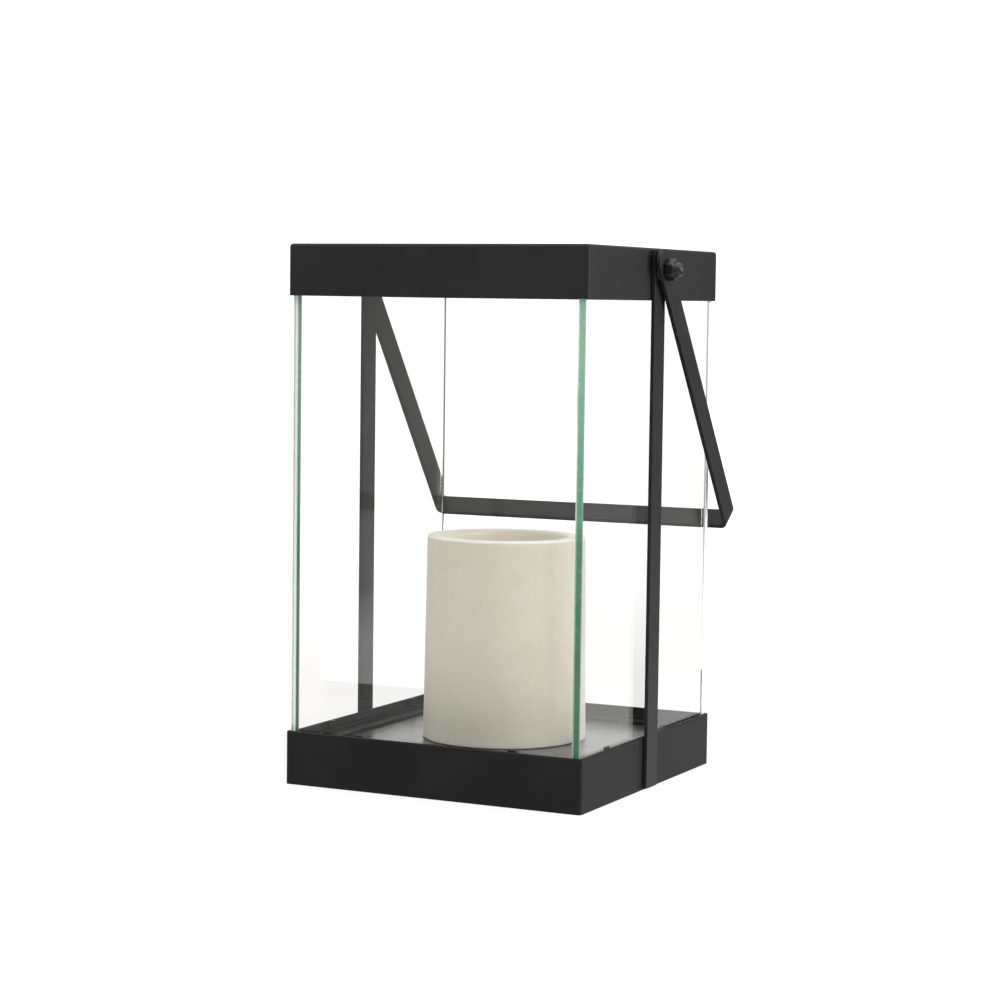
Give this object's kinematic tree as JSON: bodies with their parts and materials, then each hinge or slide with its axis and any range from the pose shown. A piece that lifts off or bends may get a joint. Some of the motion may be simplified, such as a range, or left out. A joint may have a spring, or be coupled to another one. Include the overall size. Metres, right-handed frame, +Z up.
{
  "type": "solar lantern",
  "caption": "Square glass lantern with a black metal cap and base, side straps, a swinging flat-bar bail, a solar panel in the cap and an ivory LED pillar candle inside.",
  "frame": {"origin": "middle of the flat underside, on the surface that the lantern stands on", "axes": "+Z up, front towards -Y, and the bail's pivots lie along X"},
  "size_m": [0.179, 0.1685, 0.252],
  "materials": {
    "black_coat": "satin black powder coat on sheet steel",
    "glass": "clear flat glass, cut edges show green",
    "ivory": "smooth waxy ivory",
    "grey_plastic": "moulded, grey",
    "lamp_resin": "clear warm resin",
    "black_nickel": "black nickel plate on steel",
    "steel": "zinc-plated steel",
    "nylon": "black nylon",
    "black_plastic": "moulded, fine texture",
    "silicon": "dark blue solar cells on a backing sheet",
    "clear_resin": "clear cover sheet",
    "circuit_green": "green solder mask",
    "cell_jacket": "plain green printed jacket",
    "cable_black": "black cable sheath"
  },
  "bodies": {
    "lantern": {"base_shell": "black_coat", "floor_deck": "black_coat", "glass_retainer": "black_coat", "cap_shell": "black_coat", "cap_liner": "black_coat", "strap_left": "black_coat", "strap_right": "black_coat", "glass_front": "glass", "glass_right": "glass", "glass_back": "glass", "glass_left": "glass", "candle_body": "ivory", "candle_rim": "ivory", "candle_cup": "ivory", "candle_base": "grey_plastic", "led_post": "grey_plastic", "switch_body": "grey_plastic", "led_lamp": "lamp_resin", "pivot_nut_left": "black_nickel", "pivot_nut_right": "black_nickel", "pivot_bolt_left": "steel", "pivot_bolt_right": "steel", "contact_plate": "steel", "contact_spring": "steel", "deck_screw_1": "steel", "deck_screw_2": "steel", "deck_screw_3": "steel", "deck_screw_4": "steel", "liner_screw_1": "steel", "liner_screw_2": "steel", "liner_screw_3": "steel", "liner_screw_4": "steel", "candle_screw_1": "steel", "candle_screw_2": "steel", "box_screw_1": "steel", "box_screw_2": "steel", "switch_screw_1": "steel", "switch_screw_2": "steel", "pivot_washer_left": "nylon", "pivot_washer_right": "nylon", "solar_frame": "black_plastic", "terminal_box": "black_plastic", "battery_box": "black_plastic", "driver_chip": "black_plastic", "inductor": "black_plastic", "solar_cells": "silicon", "solar_cover": "clear_resin", "pcb": "circuit_green", "battery_cell": "cell_jacket", "led_lead": "cable_black", "battery_lead": "cable_black", "panel_cable": "cable_black"},
    "bail": {"handle": "black_coat"},
    "switch": {"switch_slider": "black_plastic"},
    "battery_cover": {"battery_door": "black_plastic"}
  },
  "joints": [
    {"name": "handle_swing", "type": "hinge", "parent": "lantern", "child": "bail", "pos_m": [0, 0, 0.242], "axis": [1, 0, 0], "range_deg": [-2.8, 291]},
    {"name": "power_switch", "type": "slide", "parent": "lantern", "child": "switch", "axis": [1, 0, 0], "range_m": [0, 0.004]},
    {"name": "battery_door_slide", "type": "slide", "parent": "lantern", "child": "battery_cover", "axis": [1, 0, 0], "range_m": [0, 0.008]}
  ]
}
